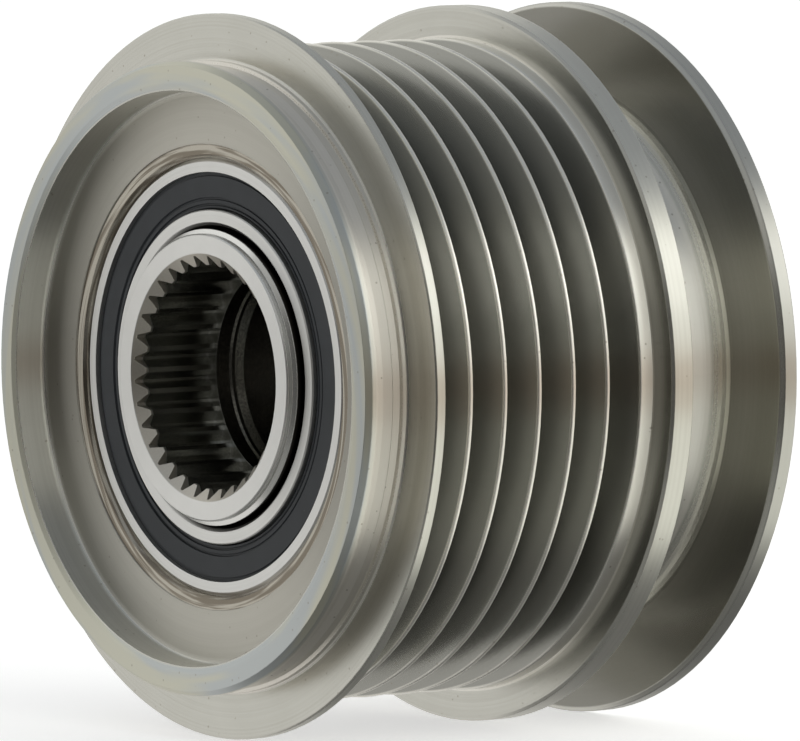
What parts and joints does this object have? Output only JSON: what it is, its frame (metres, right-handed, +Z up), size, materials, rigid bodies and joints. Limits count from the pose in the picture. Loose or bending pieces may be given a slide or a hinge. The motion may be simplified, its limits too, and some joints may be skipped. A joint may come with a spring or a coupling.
{
  "type": "one-way clutch belt pulley",
  "caption": "Multi-rib belt pulley on a splined hub, with sealed bearings and a roller clutch between them that drives one way and freewheels the other.",
  "frame": {"origin": "centre of the hub's rear seat face, on the axis of rotation", "axes": "+Y along the axis towards the rear, the way the alternator shaft leaves; the collar and the tool socket face -Y; +Z up"},
  "size_m": [0.061, 0.0425, 0.061],
  "materials": {
    "shell_steel": "fine-turned bare steel, satin",
    "hub_steel": "ground steel, satin",
    "bearing_steel": "ground bearing steel, semi-bright",
    "ball_steel": "polished",
    "seal_rubber": "moulded rubber, matte",
    "seal_core_steel": "pressed steel",
    "ball_cage_polymer": "moulded polyamide",
    "clutch_steel": "hardened and ground",
    "roller_steel": "ground and polished",
    "clutch_cage_polymer": "moulded polyamide",
    "spring_steel": "rolled strip"
  },
  "bodies": {
    "hub": {"hub_sleeve": "hub_steel", "front_bearing_inner_ring": "bearing_steel", "rear_bearing_inner_ring": "bearing_steel", "front_clutch_spacer": "clutch_steel", "rear_clutch_spacer": "clutch_steel", "clutch_cam_ring": "clutch_steel", "clutch_cage": "clutch_cage_polymer", "clutch_springs": "spring_steel"},
    "pulley": {"pulley_shell": "shell_steel", "clutch_outer_ring": "clutch_steel", "front_bearing_outer_ring": "bearing_steel", "front_bearing_front_seal": "seal_rubber", "front_bearing_front_seal_core": "seal_core_steel", "front_bearing_rear_seal": "seal_rubber", "front_bearing_rear_seal_core": "seal_core_steel", "rear_bearing_outer_ring": "bearing_steel", "rear_bearing_front_seal": "seal_rubber", "rear_bearing_front_seal_core": "seal_core_steel", "rear_bearing_rear_seal": "seal_rubber", "rear_bearing_rear_seal_core": "seal_core_steel"},
    "front_ball_set": {"front_bearing_balls": "ball_steel", "front_bearing_cage": "ball_cage_polymer"},
    "rear_ball_set": {"rear_bearing_balls": "ball_steel", "rear_bearing_cage": "ball_cage_polymer"},
    "rollers": {"clutch_rollers": "roller_steel"}
  },
  "joints": [
    {"name": "pulley_spin", "type": "hinge", "parent": "hub", "child": "pulley", "pos_m": [0, 0, 0], "axis": [0, 1, 0], "continuous": true},
    {"name": "front_balls_orbit", "type": "hinge", "parent": "hub", "child": "front_ball_set", "pos_m": [0, 0, 0], "axis": [0, 1, 0], "continuous": true},
    {"name": "rear_balls_orbit", "type": "hinge", "parent": "hub", "child": "rear_ball_set", "pos_m": [0, 0, 0], "axis": [0, 1, 0], "continuous": true},
    {"name": "roller_wedge", "type": "hinge", "parent": "hub", "child": "rollers", "pos_m": [0, 0, 0], "axis": [0, 1, 0], "range_deg": [-4.5, 0], "stiffness_Nm_per_rad": 0.05, "springref_deg": 2.86, "deforming": ["clutch_springs"]}
  ],
  "couplings": [
    {"joint": "front_balls_orbit", "follows": "pulley_spin", "ratio": 0.55645},
    {"joint": "rear_balls_orbit", "follows": "pulley_spin", "ratio": 0.55645}
  ]
}
